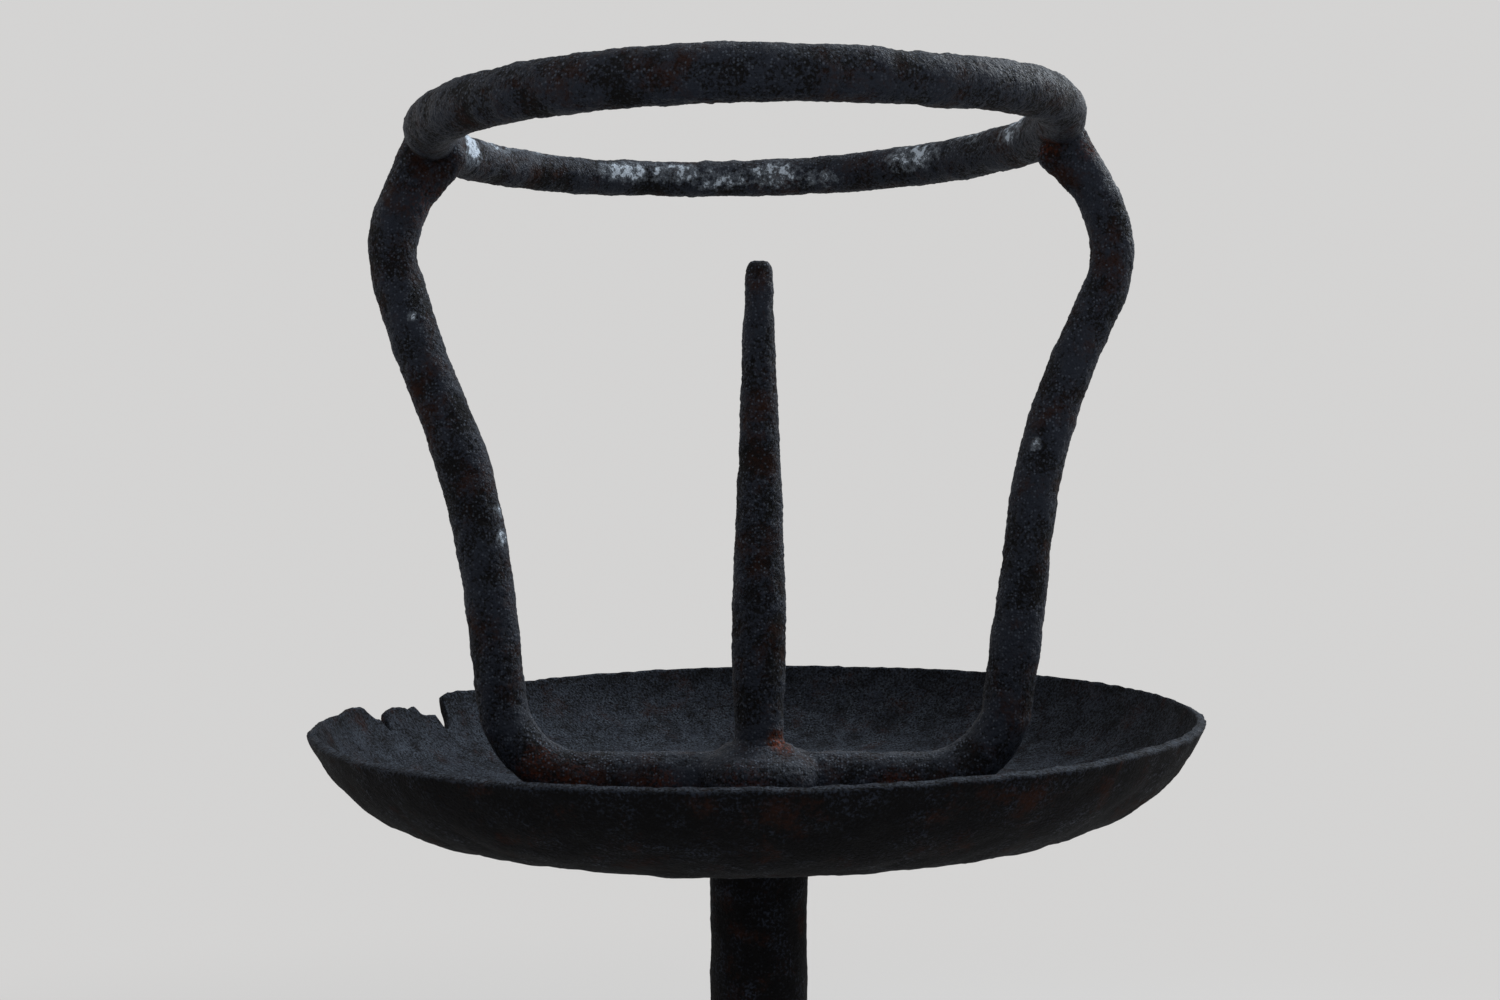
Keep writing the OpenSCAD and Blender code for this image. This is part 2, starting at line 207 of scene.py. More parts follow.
class IronFinish(PropertyGroup):
    """Colours of the old iron and of what lies on it."""

    scale: colour("Scale", "Fire scale, nearly black", (0.0032, 0.0030, 0.0034))
    rubbed: colour("Rubbed iron", "Blue-grey iron on the proud places", (0.0150, 0.0185, 0.0280))
    rust: colour("Rust", "Dull red-brown rust", (0.0230, 0.0095, 0.0065))
    fresh_rust: colour("Fresh rust", "Orange rust in the damp spots", (0.150, 0.032, 0.012))
    # Blue-grey dust on upward faces, which is also a painted highlight on the tops
    dust_and_highlight: colour("Dust and highlight", "Grey dust and painted highlight on what faces up", (0.055, 0.065, 0.082))
    # Pale grains that are partly real and partly painted glints
    salt_and_glint: colour("Salt and glint", "Pale grains from the damp, and painted glints", (0.085, 0.100, 0.130))
    wax: colour("Wax", "Old candle wax", (0.50, 0.57, 0.66))
    grit_depth: size("Grit depth", "Depth of the grit that the finish adds", 0.17)


class StageLook(PropertyGroup):
    """Floor, background, lights and camera."""

    paper: colour("Background", "Colour of the background", (0.66, 0.655, 0.65))
    floor: colour("Floor", "Colour of the floor", (0.62, 0.615, 0.61))
    ambient: share("Ambient", "Strength of the even light from all round", 0.36)
    camera_x: size("Camera X", "Sideways place of the camera", -1.47)
    camera_back: size("Camera distance", "Distance from the camera to the stem's axis", 306.85)
    camera_up: size("Camera height", "Height of the camera above the pan", 56.0)
    camera_pitch: angle("Camera pitch", "Angle by which the camera looks down", 1.3)
    lens: FloatProperty(
        name="Lens", description="Focal length in millimetres on a 36 mm frame", default=45.1
    )


def smooth(value, low=0.0, high=1.0):
    """Rises from 0 at low to 1 at high in a soft S."""
    t = min(1.0, max(0.0, (value - low) / (high - low)))
    return t * t * (3.0 - 2.0 * t)


def along_table(table, at):
    """Reads a table of (place, value) at a place, with straight lines between its rows."""
    if at <= table[0][0]:
        return table[0][1]
    for (a, low), (b, high) in zip(table, table[1:]):
        if at <= b:
            return low + (high - low) * (at - a) / (b - a)
    return table[-1][1]


def even_table(values, at):
    """Reads values spread evenly from 0 to 1."""
    last = len(values) - 1
    return along_table([(i / last, value) for i, value in enumerate(values)], at)


def bent_route(points, radii):
    """Straights and arcs of a centre line in the XZ plane: (start, heading, length, curvature)."""
    parts = []
    start = points[0]
    for before, corner, after, radius in zip(points, points[1:], points[2:], radii[1:]):
        into = (corner - before).normalized()
        out = (after - corner).normalized()
        turn = math.atan2(into.x * out.y - into.y * out.x, into.dot(out))
        setback = radius * math.tan(abs(turn) / 2)
        bend = corner - into * setback
        parts.append((start, into, (bend - start).length, 0.0))
        parts.append((bend, into, radius * abs(turn), math.copysign(1 / radius, turn)))
        start = corner + out * setback
    parts.append((start, out, (points[-1] - start).length, 0.0))
    return parts


def route_length(route):
    return sum(length for _, _, length, _ in route)


def place_on(route, at):
    """Point and heading at a distance along a route."""
    for part in route:
        start, heading, length, curvature = part
        if at <= length or part is route[-1]:
            break
        at -= length
    left = Vector((-heading.y, heading.x))
    if curvature == 0.0:
        return start + heading * at, heading
    turned = curvature * at
    point = start + (heading * math.sin(turned) + left * (1 - math.cos(turned))) / curvature
    return point, heading * math.cos(turned) + left * math.sin(turned)


def bar_stock(length, radius, grain, closed=True):
    """A round bar that stands on the origin: an even sheet rolled up, with closed ends."""
    bm = bmesh.new()
    sides = 4 * round(math.pi * radius / (2 * grain))
    bmesh.ops.create_grid(bm, x_segments=sides, y_segments=round(length / grain), size=0.5)
    for v in bm.verts:
        turn = 2 * math.pi * v.co.x
        rise = length * (v.co.y + 0.5)
        v.co = Vector((radius * math.cos(turn), radius * math.sin(turn), rise))
    bmesh.ops.remove_doubles(bm, verts=bm.verts, dist=WELD)
    if closed:
        bmesh.ops.holes_fill(bm, edges=[e for e in bm.edges if e.is_boundary], sides=0)
    bmesh.ops.recalc_face_normals(bm, faces=bm.faces)
    return bm


def join_ends(bm):
    """Welds a bar that was bent round to its own start into one ring."""
    bmesh.ops.remove_doubles(bm, verts=bm.verts, dist=WELD)
    bmesh.ops.recalc_face_normals(bm, faces=bm.faces)


def draw_out(bm, radius, diameter_at):
    """Gives each height of an upright bar its own diameter."""
    for v in bm.verts:
        swell = diameter_at(v.co.z) / (2 * radius)
        v.co.x *= swell
        v.co.y *= swell


def bend_on(bm, route):
    """Bends an upright bar onto a route in the XZ plane."""
    for v in bm.verts:
        point, heading = place_on(route, v.co.z)
        v.co = Vector((point.x - heading.y * v.co.x, v.co.y, point.y + heading.x * v.co.x))


def add_drum(bm, low_r, high_r, height, place, segments):
    """A closed round drum or cone that stands on end before it is placed."""
    return bmesh.ops.create_cone(
        bm,
        cap_ends=True,
        segments=segments,
        radius1=low_r,
        radius2=high_r,
        depth=height,
        matrix=place,
    )["verts"]


def even_skin(bm, grain, rounds=3):
    """One even skin over joined shapes, softened so that they run into each other."""
    rough = bpy.data.objects.new("rough_forging", bpy.data.meshes.new("rough_forging"))
    bpy.context.scene.collection.objects.link(rough)
    bm.to_mesh(rough.data)
    bm.free()
    skin = rough.modifiers.new("Skin", "REMESH")
    skin.mode = "VOXEL"
    skin.voxel_size = grain
    skin.adaptivity = 0.0
    whole = rough.evaluated_get(bpy.context.evaluated_depsgraph_get())
    made = bmesh.new()
    made.from_mesh(whole.to_mesh())
    whole.to_mesh_clear()
    bpy.data.meshes.remove(rough.data)
    for _ in range(rounds):
        bmesh.ops.smooth_vert(
            made, verts=made.verts, factor=0.5, use_axis_x=True, use_axis_y=True, use_axis_z=True
        )
    return made


def hammer_flats(p, width, depth):
    """Flats that the hammer left: low within each cell, proud along its borders."""
    near, second = noise.voronoi(p / width)[0][:2]
    return -depth * smooth(second - near, 0.0, 0.5)


def pits(p, width, depth, part):
    """Round pits in a part of the cells of that width."""
    distances, places = noise.voronoi(p / width)
    if abs(noise.cell(places[0] * 9.7)) > part:
        return 0.0
    return -depth * (1 - smooth(distances[0], 0.0, 0.42))


def flaked(p, width, depth):
    """Scale that has flaked off in layers, with a small step at each edge."""
    level = 3.0 * noise.fractal(p / width, 0.9, 2.0, 3)
    floor = math.floor(level)
    return depth * (floor + smooth(level - floor, 0.35, 0.65)) / 2


def grit(p, width, depth):
    return depth * noise.fractal(p / width, 0.7, 2.1, 3)


# The pits and flats only take metal away, so the bar is made this much thicker, in millimetres
OLD_BAR_MEAN = 0.1


def old_bar(p):
    """Relief of a hammered bar with scale, pits and grit, in millimetres."""
    rough = smooth(noise.noise(p / 9.0), -0.3, 0.4)
    return (
        OLD_BAR_MEAN
        + 0.18 * noise.noise(p / 7.5)
        + hammer_flats(p, 6.5, 0.14)
        + pits(p, 2.1, 0.22, 0.3) * rough
        + pits(p + Vector((31.0, 7.0, 3.0)), 1.2, 0.17, 0.4)
        + flaked(p, 5.0, 0.1)
        + grit(p, 0.9, 0.12)
    )


def raise_relief(bm, relief):
    """Moves each point along its normal by a relief and keeps it as an attribute."""
    layer = bm.verts.layers.float.new("relief")
    bm.normal_update()
    for v in bm.verts:
        v[layer] = relief(v.co / MM)
    for v in bm.verts:
        v.co += v.normal * v[layer] * MM


def paint(bm, name, amount):
    """Keeps a mask from 0 to 1, worked out at each point in millimetres, as an attribute."""
    layer = bm.verts.layers.float.new(name)
    for v in bm.verts:
        v[layer] = min(1.0, max(0.0, amount(v.co / MM, v.normal)))


def near_spots(spots):
    """A mask that is strong near each spot: (x, y, height above the pan, reach, strength)."""
    floor = pan_floor() / MM

    def amount(p, normal):
        best = 0.0
        for x, y, up, reach, strength in spots:
            off = (p - Vector((x, y, floor + up))).length / reach
            best = max(best, strength * (1 - smooth(off, 0.2, 1.0)))
        return best

    return amount


def put_in_scene(name, bm, nodes, slot):
    """The finished piece as an object at the origin that stands for its construction nodes."""
    mesh = bpy.data.meshes.new(name)
    bm.to_mesh(mesh)
    bm.free()
    mesh.shade_smooth()
    mesh.materials.append(iron_material(*IRONS[slot]))
    piece = bpy.data.objects.new(name, mesh)
    bpy.context.scene.collection.objects.link(piece)
    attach(piece, "root")
    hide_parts(*nodes)
    return piece


def wire(tree, kind, settings=None, **inputs):
    """Adds a node, sets its choices and feeds its inputs with values or other nodes' outputs."""
    made = tree.nodes.new(kind)
    for key, value in (settings or {}).items():
        setattr(made, key, value)
    for key, value in inputs.items():
        socket = made.inputs[int(key[1:]) if key[1:].isdigit() else key.replace("_", " ")]
        if isinstance(value, bpy.types.NodeSocket):
            tree.links.new(value, socket)
        else:
            socket.default_value = value
    return made


def calc(tree, operation, a, b=0.0, clamp=False):
    return wire(
        tree, "ShaderNodeMath", {"operation": operation, "use_clamp": clamp}, i0=a, i1=b
    ).outputs[0]


def times(tree, a, b, clamp=False):
    return calc(tree, "MULTIPLY", a, b, clamp)


def plus(tree, a, b, clamp=False):
    return calc(tree, "ADD", a, b, clamp)


def window(tree, value, low, high, to_low=0.0, to_high=1.0):
    """Maps a value softly from one range to another."""
    return wire(
        tree,
        "ShaderNodeMapRange",
        {"interpolation_type": "SMOOTHSTEP"},
        Value=value,
        From_Min=low,
        From_Max=high,
        To_Min=to_low,
        To_Max=to_high,
    ).outputs["Result"]


def mixed(tree, factor, a, b):
    """Mixes two colours."""
    made = tree.nodes.new("ShaderNodeMix")
    made.data_type = "RGBA"
    for index, value in ((0, factor), (6, a), (7, b)):
        if isinstance(value, bpy.types.NodeSocket):
            tree.links.new(value, made.inputs[index])
        else:
            made.inputs[index].default_value = value
    return made.outputs[2]


def speckle(tree, place, width, detail=3.0, roughness=0.55):
    """Noise with grains of a width in metres, about 0.5 on average."""
    return wire(
        tree,
        "ShaderNodeTexNoise",
        Vector=place,
        Scale=1.0 / width,
        Detail=detail,
        Roughness=roughness,
    ).outputs["Fac"]


def new_group(name, factors, outputs):
    """A node group that takes a place and named factors and gives named factors."""
    group = bpy.data.node_groups.new(name, "ShaderNodeTree")
    add = group.interface.new_socket
    add(name="Place", in_out="INPUT", socket_type="NodeSocketVector")
    for label, default in factors.items():
        socket = add(name=label, in_out="INPUT", socket_type="NodeSocketFloat")
        socket.default_value = default
    for label in outputs:
        add(name=label, in_out="OUTPUT", socket_type="NodeSocketFloat")
    return group, group.nodes.new("NodeGroupInput"), group.nodes.new("NodeGroupOutput")


def once(build):
    """Builds a node group or material at its first use and hands it out again after that."""

    def get(*options):
        key = (build.__name__, *options)
        if key not in once.made:
            once.made[key] = build(*options)
        return once.made[key]

    return get


once.made = {}


@once
def scale_group():
    """Fire scale: tone from dark to rubbed, and the height of its grit."""
    factors = {"Relief": 0.0, "Wear": 0.5}
    group, given, made = new_group("Fire scale", factors, ("Rubbed", "Height"))
    place = given.outputs["Place"]
    coarse = speckle(group, place, 4.0 * MM, 4.0, 0.6)
    fine = speckle(group, place, 0.45 * MM, 3.0, 0.65)
    cells = wire(
        group, "ShaderNodeTexVoronoi", {"feature": "F1"}, Vector=place, Scale=1 / (0.7 * MM)
    ).outputs["Distance"]
    hollow = window(group, cells, 0.05, 0.5)
    proud = wire(
        group,
        "ShaderNodeMath",
        {"operation": "MULTIPLY_ADD"},
        i0=given.outputs["Relief"],
        i1=2.2,
        i2=0.32,
    ).outputs[0]
    worn = plus(group, proud, times(group, coarse, 0.7))
    grains = window(group, fine, 0.36, 0.64)
    worn = plus(group, worn, times(group, grains, 0.6))
    edge = calc(group, "SUBTRACT", 1.45, given.outputs["Wear"])
    low = calc(group, "SUBTRACT", edge, 0.22)
    high = plus(group, edge, 0.25)
    group.links.new(window(group, worn, low, high), made.inputs["Rubbed"])
    height = times(group, grains, 0.6)
    height = plus(group, height, times(group, hollow, 0.4))
    group.links.new(height, made.inputs["Height"])
    return group


@once
def rust_group():
    """Rust: where it has bloomed, and how fresh it is."""
    factors = {"Amount": 0.4, "Damp": 0.0}
    group, given, made = new_group("Rust bloom", factors, ("Mask", "Fresh"))
    place = given.outputs["Place"]
    blotch = speckle(group, place, 6.5 * MM, 4.0, 0.62)
    grain = speckle(group, place, 0.6 * MM, 2.0, 0.6)
    bloomed = plus(group, blotch, times(group, grain, 0.35))
    bloomed = plus(group, bloomed, times(group, given.outputs["Damp"], 0.6))
    edge = calc(group, "SUBTRACT", 1.0, times(group, given.outputs["Amount"], 0.5))
    mask = window(group, bloomed, calc(group, "SUBTRACT", edge, 0.16), plus(group, edge, 0.14))
    group.links.new(mask, made.inputs["Mask"])
    fresh = times(group, given.outputs["Damp"], window(group, grain, 0.42, 0.62))
    group.links.new(fresh, made.inputs["Fresh"])
    return group


@once
def dust_and_highlight_group():
    """Dust and salt grains that settle on what faces up; the dust also paints a highlight on upper
    faces and the grains also paint glints.
    """
    group, given, made = new_group("Settled dust and painted highlight", {"Amount": 0.5}, ("Mask", "Salt and glint"))
    place = given.outputs["Place"]
    facing = wire(group, "ShaderNodeNewGeometry").outputs["Normal"]
    upward = wire(group, "ShaderNodeSeparateXYZ", Vector=facing).outputs["Z"]
    # Dust gathers on faces that point up; this also paints the tops lighter as if lit from above
    flat = window(group, upward, 0.05, 1.0)
    drifts = window(group, speckle(group, place, 3.0 * MM, 3.0, 0.6), 0.25, 0.7)
    powder = window(group, speckle(group, place, 0.38 * MM, 2.0, 0.7), 0.40, 0.66)
    dust_and_highlight_layer = times(group, times(group, flat, drifts), powder)
    mask = times(group, dust_and_highlight_layer, given.outputs["Amount"], clamp=True)
    crystals = wire(
        group, "ShaderNodeTexVoronoi", {"feature": "F1"}, Vector=place, Scale=1 / (0.5 * MM)
    ).outputs
    chance = wire(group, "ShaderNodeSeparateColor", Color=crystals["Color"]).outputs[0]
    body = window(group, crystals["Distance"], 0.22, 0.5, 1.0, 0.0)
    salt_and_glint = times(group, body, window(group, chance, 0.55, 0.7))
    # Painted glints: the grains are stronger on faces that point up
    salt_and_glint = times(group, salt_and_glint, window(group, upward, -0.6, 0.8, 0.25, 1.0))
    salt_and_glint = times(group, salt_and_glint, given.outputs["Amount"], clamp=True)
    group.links.new(mask, made.inputs["Mask"])
    group.links.new(salt_and_glint, made.inputs["Salt and glint"])
    return group


@once
def wax_group():
    """Crusty wax: its torn edge and its lumps, from the painted mask."""
    outputs = ("Mask", "Thin", "Height")
    group, given, made = new_group("Wax crust", {"Painted": 0.0}, outputs)
    place = given.outputs["Place"]
    torn = window(group, speckle(group, place, 1.5 * MM, 5.0, 0.72), 0.32, 0.68)
    value = plus(group, given.outputs["Painted"], times(group, torn, 0.6))
    value = times(group, value, window(group, given.outputs["Painted"], 0.02, 0.2))
    group.links.new(window(group, value, 0.86, 0.98), made.inputs["Mask"])
    group.links.new(window(group, value, 0.50, 0.92), made.inputs["Thin"])
    lumps = speckle(group, place, 0.5 * MM, 2.0, 0.5)
    group.links.new(lumps, made.inputs["Height"])
    return group


def opaque(rgb):
    return (*rgb, 1.0)


@once
def iron_material(name, wear, rust, dust_and_highlight, salt_and_glint, gloss):
    """Old iron: scale rubbed to blue-grey, rust in blotches, dust on top that also paints a
    highlight on upper faces, pale grains that also paint glints, painted shade on the pan's
    down-facing faces, and wax where painted.
    """
    finish = bpy.context.scene.candlestick_finish
    material = bpy.data.materials.new(name)
    material.use_nodes = True
    tree = material.node_tree
    tree.nodes.clear()
    place = wire(tree, "ShaderNodeTexCoord").outputs["Object"]

    def painted(mask):
        return wire(tree, "ShaderNodeAttribute", {"attribute_name": mask}).outputs["Fac"]

    def group(build, **inputs):
        return wire(tree, "ShaderNodeGroup", {"node_tree": build()}, Place=place, **inputs).outputs

    # Painted shade: faces of the pan that point down lose 0.3 of their wear, so they render darker
    painted_shade = times(tree, painted("painted_underside_shade"), 0.3)
    scale = group(scale_group, Relief=painted("relief"), Wear=calc(tree, "SUBTRACT", wear, painted_shade))
    bloom = group(rust_group, Amount=rust, Damp=painted("damp"))
    dust_and_highlight_layer = group(dust_and_highlight_group, Amount=dust_and_highlight)
    crust = group(wax_group, Painted=painted("wax"))
    grains = times(tree, dust_and_highlight_layer["Salt and glint"], salt_and_glint)

    colour_now = mixed(tree, scale["Rubbed"], opaque(finish.scale), opaque(finish.rubbed))
    colour_now = mixed(tree, bloom["Mask"], colour_now, opaque(finish.rust))
    colour_now = mixed(tree, bloom["Fresh"], colour_now, opaque(finish.fresh_rust))
    # Dust, which also paints a highlight on upper faces
    colour_now = mixed(tree, dust_and_highlight_layer["Mask"], colour_now, opaque(finish.dust_and_highlight))
    # Pale grains, which also paint glints
    colour_now = mixed(tree, grains, colour_now, opaque(finish.salt_and_glint))
    thin = times(tree, crust["Thin"], 0.22)
    colour_now = mixed(tree, thin, colour_now, opaque(finish.wax))
    colour_now = mixed(tree, crust["Mask"], colour_now, opaque(finish.wax))

    rough = calc(tree, "SUBTRACT", 0.8, times(tree, scale["Rubbed"], 0.22))
    rough = plus(tree, rough, times(tree, bloom["Mask"], 0.2))
    rough = plus(tree, rough, times(tree, dust_and_highlight_layer["Mask"], 0.3), clamp=True)

    height = plus(tree, scale["Height"], times(tree, crust["Mask"], 1.2))
    height = plus(tree, height, times(tree, bloom["Mask"], 0.3))
    height = plus(tree, height, times(tree, grains, 0.8))
    bump = wire(
        tree, "ShaderNodeBump", Strength=1.0, Distance=finish.grit_depth, Height=height
    ).outputs["Normal"]
    skin = wire(
        tree,
        "ShaderNodeBsdfPrincipled",
        Base_Color=colour_now,
        Roughness=rough,
        Normal=bump,
        Specular_IOR_Level=gloss,
    )
    wire(tree, "ShaderNodeOutputMaterial", Surface=skin.outputs[0])
    return material


# Name of each slot's material, then its wear, rust, dust with painted highlight, salt grains with
# painted glints, and gloss
IRONS = {
    "rubbed_iron": ("Rubbed iron", 0.52, 0.36, 0.85, 1.0, 0.11),
    "black_iron": ("Black iron", 0.26, 0.26, 0.5, 0.3, 0.05),
    "sheet_iron": ("Sheet iron", 0.42, 0.28, 1.3, 0.12, 0.05),
}


def pan_floor():
    """Height of the pan's inner floor."""
    return PAN_LOW.z + bpy.context.scene.candlestick_pan.sheet


def hoop_middle():
    return (HOOP_LOW + HOOP_HIGH) / 2


def hoop_radius():
    return HOOP_HIGH.y - bpy.context.scene.candlestick_hoop.bar_d / 2


# Damp spots, where rust is fresh: the spike's foot, the bar's underside and the arms' joints
DAMP_SPOTS = (
    (3.4, -3.0, 9.5, 3.0, 0.9),
    (-30.0, -3.6, 2.6, 6.0, 0.2),
    (-15.7, -3.6, 2.2, 5.0, 0.2),
    (22.0, -3.6, 2.4, 5.0, 0.18),
    (-2.0, -9.5, 4.0, 6.0, 0.12),
    (46.5, -2.5, 106.5, 3.5, 0.3),
    (53.0, -2.0, 105.5, 3.0, 0.3),
    (-53.5, -1.5, 97.0, 5.0, 0.15),
    (-36.0, -2.0, 6.0, 5.0, 0.3),
)
# Flakes of wax on the arms
ARM_WAX = (
    (-41.6, -1.5, 43.0, 2.4, 0.62),
    (-41.2, -1.5, 47.5, 2.8, 0.6),
    (-56.0, -3.5, 78.6, 1.6, 0.62),
    (44.5, -3.0, 58.0, 2.0, 0.58),
)

# Wax on the hoop: direction in degrees from the right to the back, reach in degrees along the
# bar, turn round the bar's section (0 inside, 90 on top), reach round it, and strength
HOOP_WAX = (
    (167, 6, 20, 80, 0.8),
    (154, 8, 50, 50, 0.5),
    (140, 14, 70, 40, 0.32),
    (118, 8, 10, 50, 0.62),
    (106, 10, 15, 50, 0.55),
    (96, 9, -10, 50, 0.5),
    (84, 8, 5, 60, 0.62),
    (74, 8, -20, 40, 0.4),
    (50, 9, 25, 60, 0.56),
    (34, 10, 60, 40, 0.4),
    (17, 7, 40, 60, 0.6),
)
# Diameter of the hoop's bar in millimetres, by direction from the right to the back
HOOP_D = (
    (-180, 7.9), (-95, 8.0), (-80, 7.5), (-60, 7.2), (-15, 7.5), (0, 7.8), (30, 7.6),
    (55, 7.2), (80, 6.7), (100, 6.4), (125, 6.4), (150, 6.8), (180, 7.9),
)
# How far the hoop lies above its even plane, in millimetres, by the same direction
HOOP_LIFT = (
    (-180, -0.4), (-140, -0.5), (-90, -0.6), (-60, -0.6), (-45, 0.0), (-28, 0.8), (0, 0.5),
    (30, 0.4), (75, 0.2), (100, 0.0), (125, -0.4), (150, -0.6), (180, -0.4),
)


class CANDLESTICK_OT_hoop(Operator):
    """Bends the hoop, hammers it and leaves wax on its back half"""

    bl_idname = "candlestick.hoop"
    bl_label = "Make hoop"

    def execute(self, context):
        sizes = context.scene.candlestick_hoop
        bar_r = sizes.bar_d / 2
        radius = hoop_radius()
        route = [(Vector((-radius, 0)), Vector((0, -1)), 2 * math.pi * radius, 1 / radius)]
        bm = bar_stock(route_length(route), bar_r, sizes.grain, closed=False)
        draw_out(bm, bar_r, lambda z: along_table(HOOP_D, math.degrees(z / radius) - 180) * MM)
        bend_on(bm, route)
        bmesh.ops.transform(bm, matrix=LAY, verts=bm.verts)
        join_ends(bm)
        for v in bm.verts:
            v.co.z += along_table(HOOP_LIFT, math.degrees(math.atan2(v.co.y, v.co.x))) * MM
        lean = Matrix.Translation(hoop_middle()) @ Matrix.Rotation(-sizes.lean, 4, "Y")
        bmesh.ops.transform(bm, matrix=lean, verts=bm.verts)
        raise_relief(bm, old_bar)
        bm.normal_update()
        back = lean.inverted()

        def wax(p, normal):
            local = back @ (p * MM)
            turn = math.degrees(math.atan2(local.y, local.x))
            out = math.hypot(local.x, local.y) - radius
            section = math.degrees(math.atan2(local.z, -out))
            best = 0.0
            for direction, reach, side, spread, strength in HOOP_WAX:
                off = math.hypot((turn - direction) / reach, (section - side) / spread)
                best = max(best, strength * (1 - smooth(off, 0.3, 1.3)))
            return best

        paint(bm, "wax", wax)
        paint(bm, "damp", near_spots(DAMP_SPOTS))
        put_in_scene("forged_hoop", bm, ["candle_hoop"], "rubbed_iron")
        return {"FINISHED"}


# Diameters in millimetres of the two arms, from the hoop down to the pan
LEFT_ARM_D = (8.6, 8.2, 7.9, 8.0, 8.2, 8.7, 8.5, 8.1, 8.1, 8.1)
RIGHT_ARM_D = (7.4, 6.7, 7.0, 7.3, 7.5, 7.6, 7.7, 7.8, 8.1, 8.3)
# Metal in the angles between the arms and the hoop, in millimetres: both ends as
# (x, height above the pan), then the radius
JOINT_WEBS = (
    ((-56.3, 97.4), (-50.2, 104.6), 2.6),
    ((55.1, 98.0), (47.6, 105.3), 2.4),
)
# Radii of the eye's dome at its foot and top, as shares of the eye's diameter
DOME_LOW, DOME_HIGH = 0.42, 0.24
# How much of the eye's height its round edges take
EYE_EDGE = 0.45


class CANDLESTICK_OT_cage(Operator):
    """Bends the cage's bar, swells its eye and roughens it"""

    bl_idname = "candlestick.cage"
    bl_label = "Make cage"

    def execute(self, context):
        sizes = context.scene.candlestick_cage
        lean = context.scene.candlestick_hoop.lean
        floor = pan_floor()
        middle = hoop_middle()
        reach = hoop_radius() * Vector((math.cos(lean), math.sin(lean)))
        hoop = Vector((middle.x, middle.z))
        left_end, right_end = hoop - reach, hoop + reach
        left_shoulder = left_end + Vector((-sizes.left_shoulder_out, -sizes.left_shoulder_drop))
        right_shoulder = right_end + Vector((sizes.right_shoulder_out, -sizes.right_shoulder_drop))
        axis_z = floor + sizes.bar_d / 2 - sizes.seat
        points = [
            left_end + sizes.cope * (left_shoulder - left_end).normalized(),
            left_shoulder,
            Vector((-sizes.left_foot - sizes.left_knee_out, floor + sizes.left_knee_z)),
            Vector((-sizes.left_foot, axis_z)),
            Vector((sizes.right_foot, axis_z)),
            Vector((sizes.right_foot + sizes.right_knee_out, floor + sizes.right_knee_z)),
            right_shoulder,
            right_end + sizes.cope * (right_shoulder - right_end).normalized(),
        ]
        radii = [
            0.0,
            sizes.left_shoulder_r,
            sizes.left_knee_r,
            sizes.corner_r,
            sizes.corner_r,
            sizes.right_knee_r,
            sizes.right_shoulder_r,
            0.0,
        ]
        route = bent_route(points, radii)
        whole = route_length(route)
        left_arm = sum(length for _, _, length, _ in route[:5])
        right_arm = sum(length for _, _, length, _ in route[-5:])

        def diameter_at(at):
            if at < left_arm:
                return even_table(LEFT_ARM_D, at / left_arm) * MM
            if at > whole - right_arm:
                return even_table(RIGHT_ARM_D, (whole - at) / right_arm) * MM
            return sizes.bar_d

        bar_r = sizes.bar_d / 2
        bm = bar_stock(whole, bar_r, 2 * sizes.grain)
        draw_out(bm, bar_r, diameter_at)
        bend_on(bm, route)
        for v in bm.verts:
            if v.co.x < 0:
                off = (v.co.z - floor - sizes.sway_z) / sizes.sway_reach
                v.co.x -= sizes.sway * (1 - smooth(abs(off)))
        self.add_webs(bm, floor)
        self.add_eye(bm, sizes, floor)
        bm = even_skin(bm, sizes.grain)
        raise_relief(bm, old_bar)
        for v in bm.verts:
            v.co.z = max(v.co.z, floor + 0.02 * MM)
        bm.normal_update()
        paint(bm, "damp", near_spots(DAMP_SPOTS))
        paint(bm, "wax", near_spots(ARM_WAX))
        put_in_scene("forged_cage", bm, ["candle_cage"], "rubbed_iron")
        return {"FINISHED"}

    def add_webs(self, bm, floor):
        """Short round-ended bars in the angles where the arms were welded to the hoop."""
        for low, high, radius in JOINT_WEBS:
            ends = [Vector((x * MM, 0, floor + up * MM)) for x, up in (low, high)]
            along = ends[1] - ends[0]
            lie = along.to_track_quat("Z", "Y").to_matrix().to_4x4()
            middle = Matrix.Translation((ends[0] + ends[1]) / 2)
            add_drum(bm, radius * MM, radius * MM, along.length, middle @ lie, 32)
            for end in ends:
                bmesh.ops.create_uvsphere(
                    bm,
                    u_segments=32,
                    v_segments=16,
                    radius=radius * MM,
                    matrix=Matrix.Translation(end),
                )

    def add_eye(self, bm, sizes, floor):
        """The bar upset to a round-edged disc with a low dome."""
        eye_h = sizes.bar_d - sizes.seat
        stand = Matrix.Translation((0, 0, floor + eye_h / 2))
        disc = set(add_drum(bm, sizes.eye_d / 2, sizes.eye_d / 2, eye_h, stand, 96))
        rim = [e for e in bm.edges if disc.issuperset(e.verts)]
        rim = [e for e in rim if abs(e.verts[0].co.z - e.verts[1].co.z) < WELD]
        bmesh.ops.bevel(
            bm,
            geom=rim,
            offset=EYE_EDGE * eye_h,
            segments=8,
            affect="EDGES",
            profile=0.5,
            material=-1,
        )
        stand = Matrix.Translation((0, 0, floor + eye_h))
        low_r, high_r = DOME_LOW * sizes.eye_d, DOME_HIGH * sizes.eye_d
        add_drum(bm, low_r, high_r, 2 * sizes.eye_rise, stand, 96)


